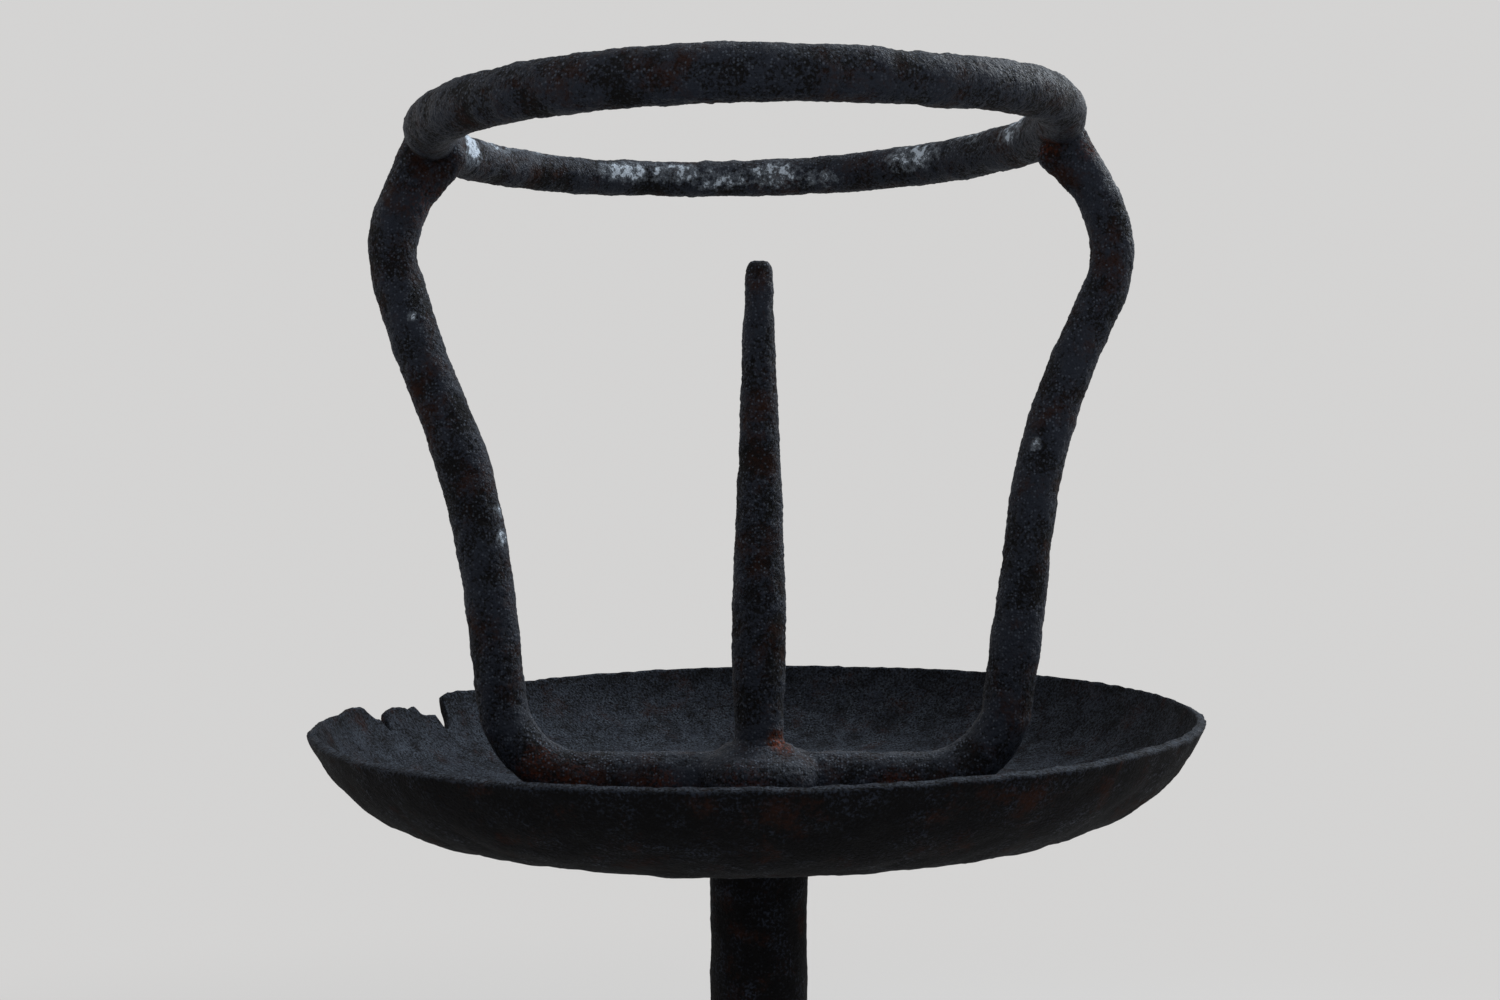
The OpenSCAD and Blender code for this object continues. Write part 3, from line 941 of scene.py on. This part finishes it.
# The spike's diameters in millimetres by height above the eye
SPIKE_OUTLINE = (
    (-2.0, 8.0), (0.0, 8.6), (1.2, 7.6), (4.0, 7.9), (10.0, 8.5), (18.0, 8.8), (25.0, 8.6),
    (31.0, 7.9), (40.0, 7.5), (48.0, 6.6), (56.0, 5.9), (63.0, 5.5), (70.0, 4.7), (75.0, 4.4),
    (77.2, 4.2), (78.1, 3.8), (78.7, 2.9), (79.0, 1.6),
)


class CANDLESTICK_OT_spike(Operator):
    """Draws the spike out to its blunt point"""

    bl_idname = "candlestick.spike"
    bl_label = "Make spike"

    def execute(self, context):
        sizes = context.scene.candlestick_spike
        cage = context.scene.candlestick_cage
        eye_top = pan_floor() + cage.bar_d - cage.seat + cage.eye_rise
        length = SPIKE_HIGH.z - eye_top + sizes.sink
        stock_r = sizes.neck_d / 2
        bm = bar_stock(length, stock_r, sizes.grain)
        draw_out(bm, stock_r, lambda z: along_table(SPIKE_OUTLINE, (z - sizes.sink) / MM) * MM)
        bmesh.ops.translate(bm, vec=(0, 0, eye_top - sizes.sink), verts=bm.verts)
        raise_relief(bm, old_bar)
        top = SPIKE_HIGH.z
        for v in bm.verts:
            v.co.z = min(v.co.z, top)
        bm.normal_update()
        paint(bm, "damp", near_spots(DAMP_SPOTS))
        put_in_scene("pricket_spike", bm, ["spike"], "rubbed_iron")
        return {"FINISHED"}


# The rim's height in millimetres above the pan, by direction in degrees from the left to the back
TORN_RIM = (
    (-20.0, 14.3), (-6.0, 14.4), (0.0, 14.3), (4.6, 14.1), (8.2, 14.0), (11.0, 14.4),
    (13.5, 14.1), (14.6, 13.4), (15.1, 12.7), (16.1, 11.7), (17.4, 11.2), (17.9, 10.0),
    (18.2, 9.2), (18.8, 9.1), (19.3, 10.8), (20.0, 12.0), (21.6, 12.7), (24.8, 12.3),
    (25.5, 11.7), (26.2, 12.2), (27.1, 12.0), (27.9, 10.5), (30.7, 10.0), (30.9, 7.5),
    (31.9, 7.3), (33.1, 8.9), (33.8, 11.6), (34.4, 13.0), (35.3, 13.4), (37.3, 13.5),
    (40.5, 13.1), (50.4, 13.7), (64.0, 13.9), (90.0, 14.0), (120.0, 13.9), (150.0, 14.2),
    (340.0, 14.3),
)
# Widths of the faces along the whole part of the rim and across the flat, in grains
WHOLE_RIM_STEP, FLAT_STEP = 1.9, 2.4


class CANDLESTICK_OT_pan(Operator):
    """Dishes the pan, tears its rim, gives the sheet its thickness and marks painted shade on its
    down-facing faces
    """

    bl_idname = "candlestick.pan"
    bl_label = "Make pan"

    def execute(self, context):
        sizes = context.scene.candlestick_pan
        bm = self.dish(sizes)
        bm.normal_update()
        for v in bm.verts:
            v.co += v.normal * MM * self.dents(v.co / MM)
        bm.normal_update()
        bmesh.ops.solidify(bm, geom=bm.faces, thickness=sizes.sheet)
        bmesh.ops.recalc_face_normals(bm, faces=bm.faces)
        raise_relief(bm, self.relief)
        bm.normal_update()

        # Painted shade: marks the faces that point down, which the material renders darker
        def underside_shade_amount(p, normal):
            return smooth(-normal.z, -0.1, 0.3)

        paint(bm, "painted_underside_shade", underside_shade_amount)
        put_in_scene("dished_pan", bm, ["drip_pan"], "sheet_iron")
        return {"FINISHED"}

    def dish(self, sizes):
        """The inner face of the pan, with finer faces where its rim is torn."""
        floor = pan_floor()
        height = sizes.depth + sizes.sheet
        hole_r, flat_r = sizes.hole_d / 2, sizes.flat_d / 2
        rim_r = PAN_HIGH.x
        run = rim_r - flat_r
        arc_r = (run * run + height * height) / (2 * height) - sizes.sheet
        torn = sizes.torn_to - sizes.torn_from
        rest = 2 * math.pi - torn
        torn_steps = round(rim_r * torn / sizes.torn_grain)
        rest_steps = round(rim_r * rest / (WHOLE_RIM_STEP * sizes.grain))
        flat_steps = round((flat_r - hole_r) / (FLAT_STEP * sizes.grain))
        wall_steps = round(math.hypot(run, height) / sizes.grain)
        columns, rows = torn_steps + rest_steps, flat_steps + wall_steps
        bm = bmesh.new()
        bmesh.ops.create_grid(bm, x_segments=columns, y_segments=rows, size=0.5)
        for v in bm.verts:
            column = (v.co.x + 0.5) * columns
            row = (v.co.y + 0.5) * rows
            if column < torn_steps:
                turn = sizes.torn_from + torn * column / torn_steps
            else:
                turn = sizes.torn_to + rest * (column - torn_steps) / rest_steps
            out = hole_r + (flat_r - hole_r) * row / flat_steps
            rise = 0.0
            if row > flat_steps:
                top = self.rim_height(math.degrees(turn)) * MM
                swung = math.acos(1 - top / arc_r) * (row - flat_steps) / wall_steps
                out = flat_r + arc_r * math.sin(swung)
                rise = arc_r * (1 - math.cos(swung))
            across = -out * math.cos(turn)
            raised = smooth(out, 0.5 * flat_r, rim_r)
            rise += across * math.sin(sizes.tilt) * raised
            spread = 1 + sizes.spread / rim_r * raised
            x = across * spread + sizes.shift * raised
            v.co = Vector((x, out * math.sin(turn) * spread, floor + rise))
        join_ends(bm)
        if bm.faces[0].normal.z < 0:
            bmesh.ops.reverse_faces(bm, faces=bm.faces)
        return bm

    def rim_height(self, turn):
        """Height of the worn rim above the pan in a direction, in millimetres."""
        if turn > 360 + TORN_RIM[0][0]:
            turn -= 360
        way = math.radians(turn)
        nick = noise.noise(Vector((math.cos(way), math.sin(way), 0.3)) * 40.0)
        return along_table(TORN_RIM, turn) + 0.2 * nick

    def dents(self, p):
        """How far the hammer pushed the sheet in or out, in millimetres."""
        return 0.3 * noise.noise(p / 16.0) + hammer_flats(p, 9.0, 0.2) + 0.1

    def relief(self, p):
        rough = smooth(noise.noise(p / 12.0), -0.3, 0.4)
        return pits(p, 2.4, 0.14, 0.3) * rough + flaked(p, 6.0, 0.06) + grit(p, 0.9, 0.07)


class CANDLESTICK_OT_stem(Operator):
    """Draws the stem's end out to its ball"""

    bl_idname = "candlestick.stem"
    bl_label = "Make stem"

    def execute(self, context):
        sizes = context.scene.candlestick_stand
        stem_r = STEM_HIGH.x
        bm = bar_stock(STEM_HIGH.z - STEM_LOW.z, stem_r, sizes.grain)
        ball_r = sizes.ball_d / 2
        neck_r, neck_z = 0.62 * ball_r, 1.5 * ball_r
        hip = sizes.hip_z - STEM_LOW.z

        def diameter_at(z):
            if z >= hip:
                return 2 * stem_r
            drawn = neck_r + (stem_r - neck_r) * smooth(z, neck_z, hip)
            ball = math.sqrt(max(0.0, ball_r * ball_r - (z - ball_r) ** 2))
            if z < neck_z:
                return 2 * max(ball, 0.1 * MM)
            return 2 * max(ball, drawn)

        draw_out(bm, stem_r, diameter_at)
        bmesh.ops.translate(bm, vec=(0, 0, STEM_LOW.z), verts=bm.verts)
        raise_relief(bm, self.relief)
        for v in bm.verts:
            v.co.z = min(v.co.z, STEM_HIGH.z)
        bm.normal_update()
        put_in_scene("forged_stem", bm, ["stem"], "black_iron")
        return {"FINISHED"}

    def relief(self, p):
        return (
            0.1 * noise.noise(p / 14.0)
            + hammer_flats(p, 10.0, 0.16)
            + pits(p, 2.2, 0.14, 0.3)
            + flaked(p, 6.0, 0.06)
            + grit(p, 0.9, 0.07)
        )


def leg_line(sizes):
    """Centre line of a leg along +X, from its top down to its foot."""
    out = STEM_HIGH.x + sizes.leg_d / 2 - sizes.leg_seat
    points = [
        Vector((out, LEG_HIGH.z)),
        Vector((out, sizes.hip_z)),
        Vector((sizes.knee_out, sizes.knee_z)),
        Vector((sizes.foot_out, sizes.foot_t / 2)),
    ]
    return bent_route(points, [0.0, sizes.hip_r, sizes.knee_r, 0.0])


# Radius of a foot's upper face as a share of the foot's diameter
FOOT_TOP = 0.44


class CANDLESTICK_OT_legs(Operator):
    """Bends the three legs and flattens their feet"""

    bl_idname = "candlestick.legs"
    bl_label = "Make legs"

    def execute(self, context):
        sizes = context.scene.candlestick_stand
        route = leg_line(sizes)
        whole = route_length(route)
        leg_r = sizes.leg_d / 2
        stem_r = STEM_HIGH.x
        for node, turn in LEG_TURNS.items():
            bm = bar_stock(whole, leg_r, 1.5 * sizes.grain)
            bend_on(bm, route)
            stand = Matrix.Translation((sizes.foot_out, 0, sizes.foot_t / 2))
            add_drum(bm, sizes.foot_d / 2, FOOT_TOP * sizes.foot_d, sizes.foot_t, stand, 64)
            slant = Vector((sizes.leg_taper, 0, sizes.leg_d))
            cut = bmesh.ops.bisect_plane(
                bm,
                geom=bm.verts[:] + bm.edges[:] + bm.faces[:],
                plane_co=(stem_r, 0, LEG_HIGH.z - 0.2 * MM),
                plane_no=slant.normalized(),
                clear_outer=True,
            )["geom_cut"]
            edges = [e for e in cut if isinstance(e, bmesh.types.BMEdge)]
            bmesh.ops.edgeloop_fill(bm, edges=edges)
            bm = even_skin(bm, sizes.grain, 5)
            bmesh.ops.rotate(
                bm, verts=bm.verts, matrix=Matrix.Rotation(math.radians(turn), 3, "Z")
            )
            raise_relief(bm, old_bar)
            for v in bm.verts:
                v.co.z = max(v.co.z, 0.0)
            bm.normal_update()
            put_in_scene("forged_" + node, bm, [node], "black_iron")
        return {"FINISHED"}


# Power that turns a round bar's section into a strip's: 1 leaves it round, 0 makes it sharp
SQUARING = 0.4


class CANDLESTICK_OT_collars(Operator):
    """Wraps a strip hot round the three legs, twice"""

    bl_idname = "candlestick.collars"
    bl_label = "Make collars"

    def execute(self, context):
        boxes = {
            "lower_collar": (LOWER_COLLAR_LOW, LOWER_COLLAR_HIGH),
            "upper_collar": (UPPER_COLLAR_LOW, UPPER_COLLAR_HIGH),
        }
        for node, (low, high) in boxes.items():
            bm = self.strip(context.scene.candlestick_stand, low, high)
            raise_relief(bm, self.relief)
            put_in_scene("wrapped_" + node, bm, [node], "black_iron")
        return {"FINISHED"}

    def strip(self, sizes, low, high):
        """A rounded strip led round the three legs and back to its start."""
        out = STEM_HIGH.x + sizes.leg_d / 2 - sizes.leg_seat
        ring_r = (sizes.leg_d + sizes.strip_t) / 2
        third = math.radians(120.0)
        route = []
        for turn in LEG_TURNS.values():
            here = math.radians(turn)
            heading = Vector((math.cos(here + 1.25 * third), math.sin(here + 1.25 * third)))
            aside = Vector((heading.y, -heading.x)) * ring_r
            leg = Vector((math.cos(here), math.sin(here))) * out
            next_leg = Vector((math.cos(here + third), math.sin(here + third))) * out
            route.append((leg + aside, heading, (next_leg - leg).length, 0.0))
            route.append((next_leg + aside, heading, ring_r * third, 1 / ring_r))
        half_t, half_h = sizes.strip_t / 2, (high.z - low.z) / 2
        stock_r = (half_t + half_h) / 2
        bm = bar_stock(route_length(route), stock_r, sizes.grain, closed=False)
        for v in bm.verts:
            v.co.x = half_t * self.squared(v.co.x / stock_r)
            v.co.y = half_h * self.squared(v.co.y / stock_r)
        bend_on(bm, route)
        bmesh.ops.transform(bm, matrix=LAY, verts=bm.verts)
        bmesh.ops.translate(bm, vec=(0, 0, (low.z + high.z) / 2), verts=bm.verts)
        join_ends(bm)
        return bm

    def squared(self, share):
        """Turns a circle's coordinate into that of a square with soft corners."""
        return math.copysign(abs(share) ** SQUARING, share)

    def relief(self, p):
        return hammer_flats(p, 5.0, 0.12) + pits(p, 1.8, 0.12, 0.3) + grit(p, 0.8, 0.06)


class CANDLESTICK_OT_rivets(Operator):
    """Heads the three rivets over the legs and peens them behind the stem"""

    bl_idname = "candlestick.rivets"
    bl_label = "Make rivets"

    def execute(self, context):
        sizes = context.scene.candlestick_stand
        bm = bmesh.new()
        stem_r = STEM_HIGH.x
        leg_r = sizes.leg_d / 2
        out = stem_r + leg_r - sizes.leg_seat
        gap = (UPPER_COLLAR_LOW.z - LOWER_COLLAR_HIGH.z) / len(LEG_TURNS)
        lie = Matrix.Rotation(math.pi / 2, 4, "Y")
        for i, turn in enumerate(LEG_TURNS.values()):
            height = LOWER_COLLAR_HIGH.z + (i + 0.5) * gap
            place = Matrix.Translation((0, 0, height)) @ Matrix.Rotation(math.radians(turn), 4, "Z")
            span = out + leg_r + stem_r
            middle = (out + leg_r - stem_r) / 2
            along = place @ Matrix.Translation((middle, 0, 0)) @ lie
            add_drum(bm, sizes.rivet_d / 2, sizes.rivet_d / 2, span, along, 32)
            for at, width in ((out + leg_r, 1.0), (-stem_r, 0.8)):
                shape = Matrix.Diagonal(
                    (sizes.head_h, width * sizes.head_d / 2, width * sizes.head_d / 2, 1.0)
                )
                bmesh.ops.create_uvsphere(
                    bm,
                    u_segments=48,
                    v_segments=32,
                    radius=1.0,
                    matrix=place @ Matrix.Translation((at, 0, 0)) @ shape,
                )
        bmesh.ops.recalc_face_normals(bm, faces=bm.faces)
        raise_relief(bm, self.relief)
        put_in_scene("hammered_rivets", bm, ["leg_rivets"], "rubbed_iron")
        return {"FINISHED"}

    def relief(self, p):
        return hammer_flats(p, 2.6, 0.14) + grit(p, 0.8, 0.05)


class CANDLESTICK_OT_pin(Operator):
    """Drives the cross pin through the stem and peens both ends"""

    bl_idname = "candlestick.pin"
    bl_label = "Make tang pin"

    def execute(self, context):
        sizes = context.scene.candlestick_stand
        pin_r = PIN_HIGH.x
        length = PIN_HIGH.y - PIN_LOW.y
        bm = bar_stock(length, pin_r, 0.4 * sizes.grain)
        proud = length / 2 - STEM_HIGH.x
        for v in bm.verts:
            end = min(v.co.z, length - v.co.z)
            if end < proud:
                swell = 1.25 * math.sqrt(smooth(end + 0.25 * proud, 0.0, proud * 1.1))
                v.co.x *= swell
                v.co.y *= swell
        bmesh.ops.translate(bm, vec=(0, 0, -length / 2), verts=bm.verts)
        lie = Matrix.Translation((PIN_LOW + PIN_HIGH) / 2) @ Matrix.Rotation(math.pi / 2, 4, "X")
        bmesh.ops.transform(bm, matrix=lie, verts=bm.verts)
        raise_relief(bm, self.relief)
        put_in_scene("peened_pin", bm, ["tang_pin"], "black_iron")
        return {"FINISHED"}

    def relief(self, p):
        return hammer_flats(p, 1.6, 0.06) + grit(p, 0.7, 0.04)


# Radius of the floor, and the distances between which it fades into the background
FLOOR_R = 1.6
FADE_FROM, FADE_TO = 0.35, 1.1


class CANDLESTICK_OT_stage(Operator):
    """Lays the pale floor, sets the lights and places the camera"""

    bl_idname = "candlestick.stage"
    bl_label = "Set stage"

    def execute(self, context):
        look = context.scene.candlestick_stage
        self.lay_floor(context, look)
        self.light(context, look)
        self.place_camera(context, look)
        context.scene.view_settings.view_transform = "Standard"
        return {"FINISHED"}

    def lay_floor(self, context, look):
        bm = bmesh.new()
        bmesh.ops.create_circle(bm, cap_ends=True, segments=128, radius=FLOOR_R)
        mesh = bpy.data.meshes.new("pale_floor")
        bm.to_mesh(mesh)
        bm.free()
        floor = bpy.data.objects.new("pale_floor", mesh)
        context.scene.collection.objects.link(floor)
        material = bpy.data.materials.new("Pale floor")
        material.use_nodes = True
        tree = material.node_tree
        tree.nodes.clear()
        place = wire(tree, "ShaderNodeTexCoord").outputs["Object"]
        out = wire(tree, "ShaderNodeVectorMath", {"operation": "LENGTH"}, i0=place).outputs["Value"]
        fade = window(tree, out, FADE_FROM, FADE_TO)
        paper = wire(tree, "ShaderNodeBsdfDiffuse", Color=opaque(look.floor)).outputs[0]
        clear = wire(tree, "ShaderNodeBsdfTransparent").outputs[0]
        skin = wire(tree, "ShaderNodeMixShader", i0=fade, i1=paper, i2=clear).outputs[0]
        wire(tree, "ShaderNodeOutputMaterial", Surface=skin)
        mesh.materials.append(material)

    def light(self, context, look):
        world = bpy.data.worlds.new("Soft room")
        context.scene.world = world
        world.use_nodes = True
        tree = world.node_tree
        tree.nodes.clear()
        path = wire(tree, "ShaderNodeLightPath").outputs
        seen = calc(tree, "MAXIMUM", path["Is Camera Ray"], path["Is Glossy Ray"])
        seen = calc(tree, "MAXIMUM", seen, path["Is Transmission Ray"])
        room = wire(tree, "ShaderNodeBackground", Color=(1, 1, 1, 1), Strength=look.ambient)
        paper = wire(tree, "ShaderNodeBackground", Color=opaque(look.paper), Strength=1.0)
        mix = wire(
            tree, "ShaderNodeMixShader", i0=seen, i1=room.outputs[0], i2=paper.outputs[0]
        ).outputs[0]
        wire(tree, "ShaderNodeOutputWorld", Surface=mix)
        target = Vector((0, 0, 0.6 * CAD_BOX[1].z))
        for name, place, width, power, tint in (
            ("key_light", (0.75, 0.55, 1.05), 0.7, 18.0, (0.90, 0.96, 1.0)),
            ("side_light", (-0.9, 0.35, 0.7), 0.6, 1.4, (1.0, 0.97, 0.94)),
            ("front_light", (0.35, -1.0, 0.75), 0.8, 2.5, (0.95, 0.98, 1.0)),
        ):
            data = bpy.data.lights.new(name, "AREA")
            data.size = width
            data.energy = power
            data.color = tint
            lamp = bpy.data.objects.new(name, data)
            lamp.location = place
            lamp.rotation_euler = (target - Vector(place)).to_track_quat("-Z", "Y").to_euler()
            context.scene.collection.objects.link(lamp)

    def place_camera(self, context, look):
        data = bpy.data.cameras.new("front_camera")
        data.lens = look.lens
        data.sensor_width = 36.0
        data.sensor_fit = "HORIZONTAL"
        data.clip_start = 0.01
        camera = bpy.data.objects.new("front_camera", data)
        camera.location = (look.camera_x, -look.camera_back, pan_floor() + look.camera_up)
        camera.rotation_euler = (math.pi / 2 - look.camera_pitch, 0, 0)
        context.scene.collection.objects.link(camera)
        context.scene.camera = camera


class CANDLESTICK_PT_panel(Panel):
    """Lists the steps that make the candlestick, with the sizes of each"""

    bl_label = "Candlestick"
    bl_idname = "CANDLESTICK_PT_panel"
    bl_space_type = "VIEW_3D"
    bl_region_type = "UI"
    bl_category = "Candlestick"

    def draw(self, context):
        for operator in OPERATORS:
            self.layout.operator(operator.bl_idname)
        for name, group in GROUPS.items():
            box = self.layout.box()
            box.label(text=name.split("_", 1)[1].capitalize())
            for prop in group.__annotations__:
                box.prop(getattr(context.scene, name), prop)


GROUPS = {
    "candlestick_hoop": HoopSizes,
    "candlestick_cage": CageSizes,
    "candlestick_spike": SpikeSizes,
    "candlestick_pan": PanSizes,
    "candlestick_stand": StandSizes,
    "candlestick_finish": IronFinish,
    "candlestick_stage": StageLook,
}
OPERATORS = (
    CANDLESTICK_OT_hoop,
    CANDLESTICK_OT_cage,
    CANDLESTICK_OT_spike,
    CANDLESTICK_OT_pan,
    CANDLESTICK_OT_stem,
    CANDLESTICK_OT_pin,
    CANDLESTICK_OT_legs,
    CANDLESTICK_OT_collars,
    CANDLESTICK_OT_rivets,
    CANDLESTICK_OT_stage,
)


def register():
    for cls in (*GROUPS.values(), *OPERATORS, CANDLESTICK_PT_panel):
        bpy.utils.register_class(cls)
    for name, group in GROUPS.items():
        setattr(bpy.types.Scene, name, PointerProperty(type=group))


def unregister():
    for name in GROUPS:
        delattr(bpy.types.Scene, name)
    for cls in reversed((*GROUPS.values(), *OPERATORS, CANDLESTICK_PT_panel)):
        bpy.utils.unregister_class(cls)


def main():
    register()
    bpy.ops.candlestick.hoop()
    bpy.ops.candlestick.cage()
    bpy.ops.candlestick.spike()
    bpy.ops.candlestick.pan()
    bpy.ops.candlestick.stem()
    bpy.ops.candlestick.pin()
    bpy.ops.candlestick.legs()
    bpy.ops.candlestick.collars()
    bpy.ops.candlestick.rivets()
    bpy.ops.candlestick.stage()


if __name__ == "__main__":
    main()
